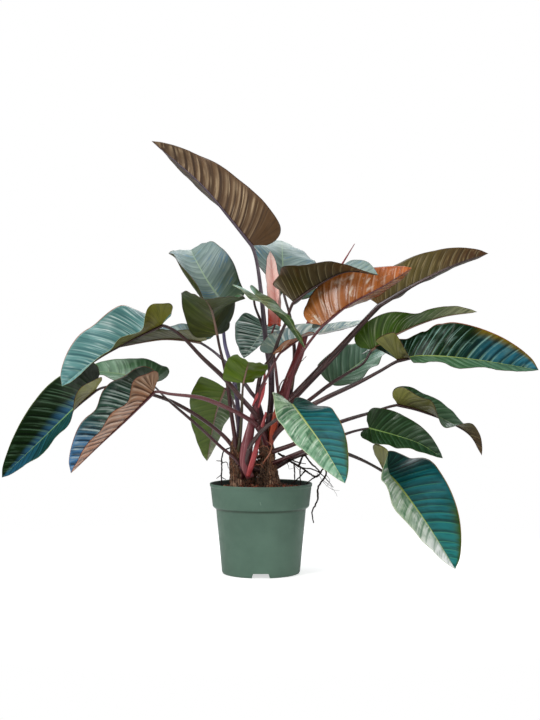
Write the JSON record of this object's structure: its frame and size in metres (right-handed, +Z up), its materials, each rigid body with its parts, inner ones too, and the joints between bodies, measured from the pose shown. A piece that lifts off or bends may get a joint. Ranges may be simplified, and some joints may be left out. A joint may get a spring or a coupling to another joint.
{
  "type": "potted philodendron",
  "caption": "Philodendron with long arrow-shaped bronze-green leaves on red stalks, rising from short stems with aerial roots in a round green nursery pot.",
  "frame": {"origin": "middle of the pot's underside, on the ground", "axes": "+Z up along the pot's axis, +Y to the back of the plant, +X to the right seen from the front, along the widest spread of the leaves"},
  "size_m": [1.2482, 0.6305, 1.0083],
  "materials": {
    "aerial_root": "matte",
    "bark": "matte",
    "leaf_bronze": "satin",
    "leaf_copper": "gloss",
    "leaf_dark_green": "gloss",
    "leaf_fresh_green": "satin",
    "leaf_new_pink": "satin",
    "leaf_olive": "satin",
    "leaf_pale_green": "satin",
    "leaf_stalk": "satin",
    "leaf_teal": "gloss",
    "pot_plastic": "satin",
    "soil": "matte",
    "spear_sheath": "satin"
  },
  "bodies": {
    "root": {"pot": "pot_plastic", "soil": "soil", "stem_left": "bark", "stem_right": "bark", "spear": "spear_sheath", "roots_left": "aerial_root", "roots_right": "aerial_root", "leaf_crest": "leaf_bronze", "stalk_crest": "leaf_stalk", "leaf_arched": "leaf_pale_green", "stalk_arched": "leaf_stalk", "leaf_wing": "leaf_olive", "stalk_wing": "leaf_stalk", "leaf_bright": "leaf_fresh_green", "stalk_bright": "leaf_stalk", "leaf_pleated": "leaf_dark_green", "stalk_pleated": "leaf_stalk", "leaf_rear": "leaf_pale_green", "stalk_rear": "leaf_stalk", "leaf_canopy": "leaf_bronze", "stalk_canopy": "leaf_stalk", "leaf_copper": "leaf_copper", "stalk_copper": "leaf_stalk", "leaf_slim": "leaf_pale_green", "stalk_slim": "leaf_stalk", "leaf_spread": "leaf_bronze", "stalk_spread": "leaf_stalk", "leaf_keel": "leaf_fresh_green", "stalk_keel": "leaf_stalk", "leaf_glossy": "leaf_dark_green", "stalk_glossy": "leaf_stalk", "leaf_shade": "leaf_dark_green", "stalk_shade": "leaf_stalk", "leaf_twisted": "leaf_olive", "stalk_twisted": "leaf_stalk", "leaf_oval": "leaf_dark_green", "stalk_oval": "leaf_stalk", "leaf_broad": "leaf_teal", "stalk_broad": "leaf_stalk", "leaf_front": "leaf_teal", "stalk_front": "leaf_stalk", "leaf_teal": "leaf_teal", "stalk_teal": "leaf_stalk", "leaf_low": "leaf_dark_green", "stalk_low": "leaf_stalk", "leaf_folded": "leaf_bronze", "stalk_folded": "leaf_stalk", "leaf_back_left": "leaf_pale_green", "stalk_back_left": "leaf_stalk", "leaf_edge_on": "leaf_olive", "stalk_edge_on": "leaf_stalk", "leaf_hanging": "leaf_fresh_green", "stalk_hanging": "leaf_stalk", "leaf_ribbon": "leaf_fresh_green", "stalk_ribbon": "leaf_stalk", "leaf_new": "leaf_new_pink", "stalk_new": "leaf_stalk"}
  },
  "joints": []
}
